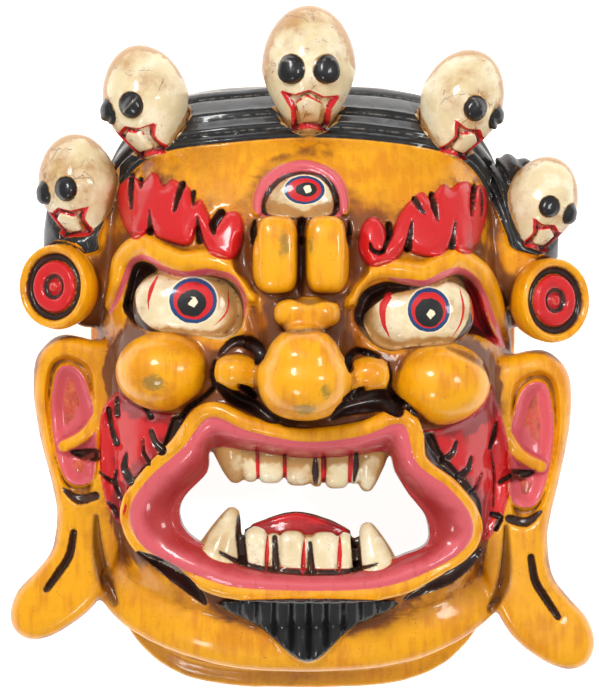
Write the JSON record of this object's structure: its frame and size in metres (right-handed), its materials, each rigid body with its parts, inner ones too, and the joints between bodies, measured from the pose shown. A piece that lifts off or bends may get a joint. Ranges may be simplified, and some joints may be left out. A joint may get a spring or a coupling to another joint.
{
  "type": "cham dance mask",
  "caption": "Carved and painted wooden mask of a wrathful deity with a third eye, a crown of skulls, an open fanged mouth and long ears; hollow behind.",
  "frame": {"origin": "on the plane of the back rim, at the middle of the mask's width and height", "axes": "+X to the viewer's right, +Y to the crown, +Z out of the face; the mask lies on its back rim"},
  "size_m": [0.3417, 0.3992, 0.1574],
  "materials": {
    "painted_wood": "hand-painted ochre yellow, red, pink, black and ivory with a brown wash, semi-gloss"
  },
  "bodies": {
    "root": {"mask": "painted_wood"}
  },
  "joints": []
}
